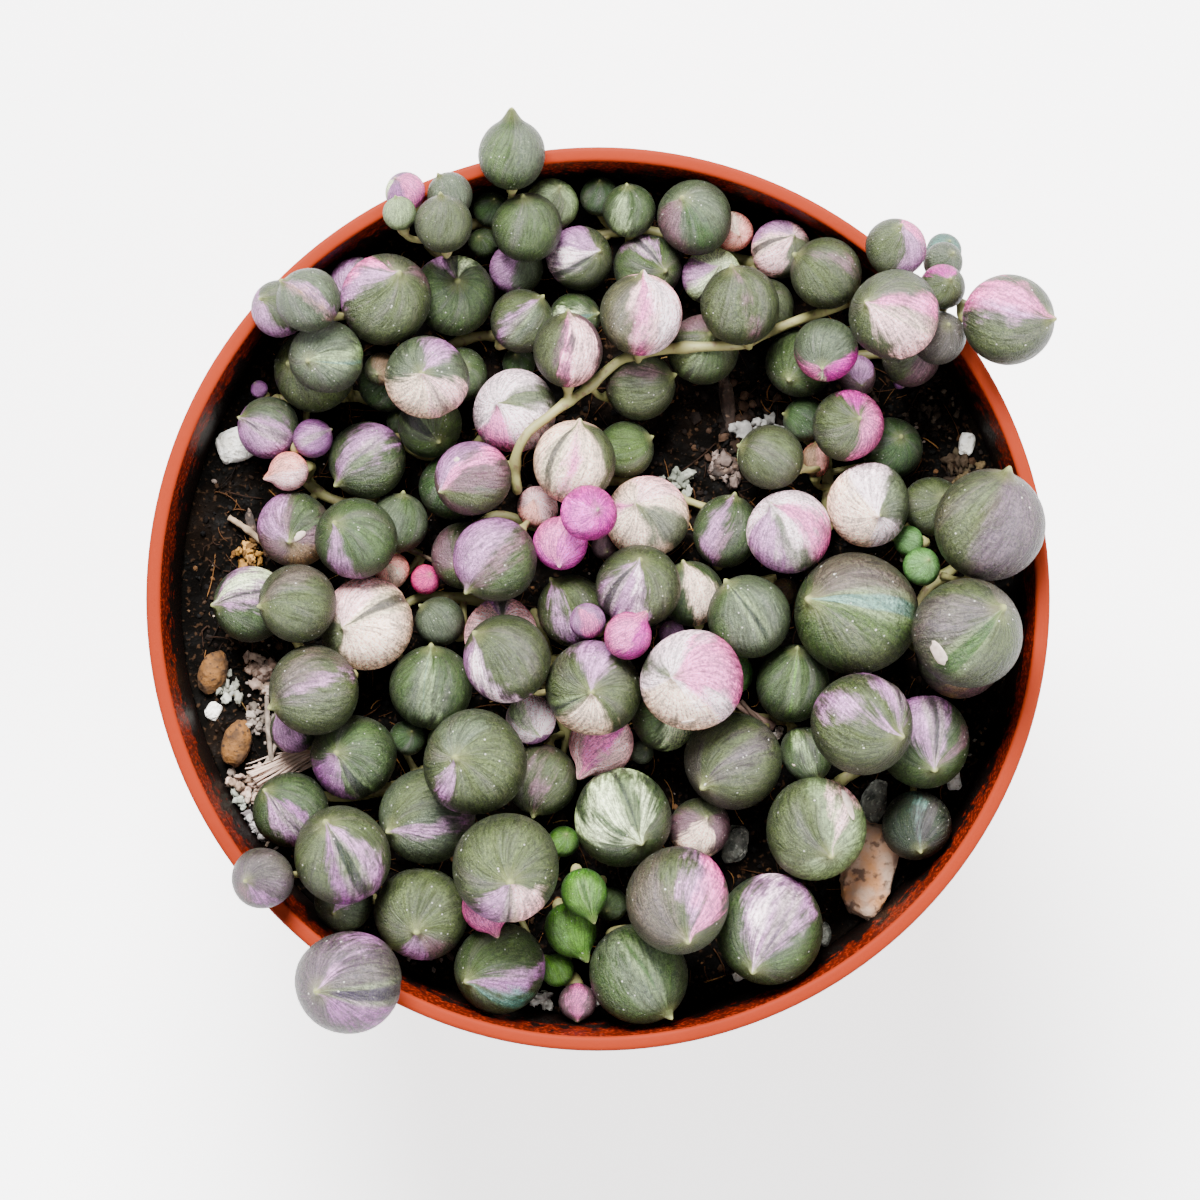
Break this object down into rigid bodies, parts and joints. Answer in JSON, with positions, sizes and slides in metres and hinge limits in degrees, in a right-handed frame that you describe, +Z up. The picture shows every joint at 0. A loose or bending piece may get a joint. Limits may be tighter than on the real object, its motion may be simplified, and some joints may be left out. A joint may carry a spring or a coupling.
{
  "type": "potted string of pearls",
  "caption": "Trailing succulent with round, pointed leaves on thin stems, heaped on the soil of a tapered round nursery pot.",
  "frame": {"origin": "centre of the flat pad under the pot, on the surface it stands on", "axes": "+Z up along the pot's axis, +X to the right and +Y to the top of a view from straight above"},
  "size_m": [0.0906, 0.0932, 0.0933],
  "materials": {
    "pot": "matt, slightly rough orange plastic",
    "soil": "loose dark peat with fibres",
    "leaves": "waxy soft skin, green with cream, pink and lilac sectors and a clear window line",
    "young_leaves": "waxy fresh green skin",
    "perlite": "rough white expanded mineral",
    "granite": "speckled orange and white stone",
    "slate": "grey stone",
    "clay": "dull tan fired clay",
    "bark": "rough brown bark",
    "straw": "pale dry fibre"
  },
  "bodies": {
    "root": {"bark_chip_long": "bark", "bark_chip_low": "bark", "bark_chip_middle": "bark", "bark_stick": "bark", "dry_straw": "straw", "pellet_lower": "clay", "pellet_upper": "clay", "perlite_block_west": "perlite", "perlite_east": "perlite", "perlite_north_a": "perlite", "perlite_north_b": "perlite", "perlite_south": "perlite", "perlite_south_east": "perlite", "perlite_west": "perlite", "pot": "pot", "soil": "soil", "stone_grey_east": "slate", "stone_grey_rim": "slate", "stone_grey_south": "slate", "stone_orange": "granite", "stone_white": "perlite", "strand_centre": "leaves", "strand_centre_left": "leaves", "strand_centre_right": "leaves", "strand_core": "leaves", "strand_east": "leaves", "strand_green_shoot": "young_leaves", "strand_left": "leaves", "strand_middle_left": "leaves", "strand_north": "leaves", "strand_north_east": "leaves", "strand_north_west": "leaves", "strand_on_top": "leaves", "strand_south": "leaves", "strand_south_core": "leaves", "strand_south_east": "leaves", "strand_south_east_rim": "leaves", "strand_south_middle": "leaves", "strand_south_west": "leaves", "strand_south_west_core": "leaves", "strand_south_west_rim": "leaves", "strand_upper_left": "leaves", "strand_upper_left_rim": "leaves", "strand_upper_middle": "leaves", "strand_west": "leaves", "strand_west_core": "leaves"}
  },
  "joints": []
}
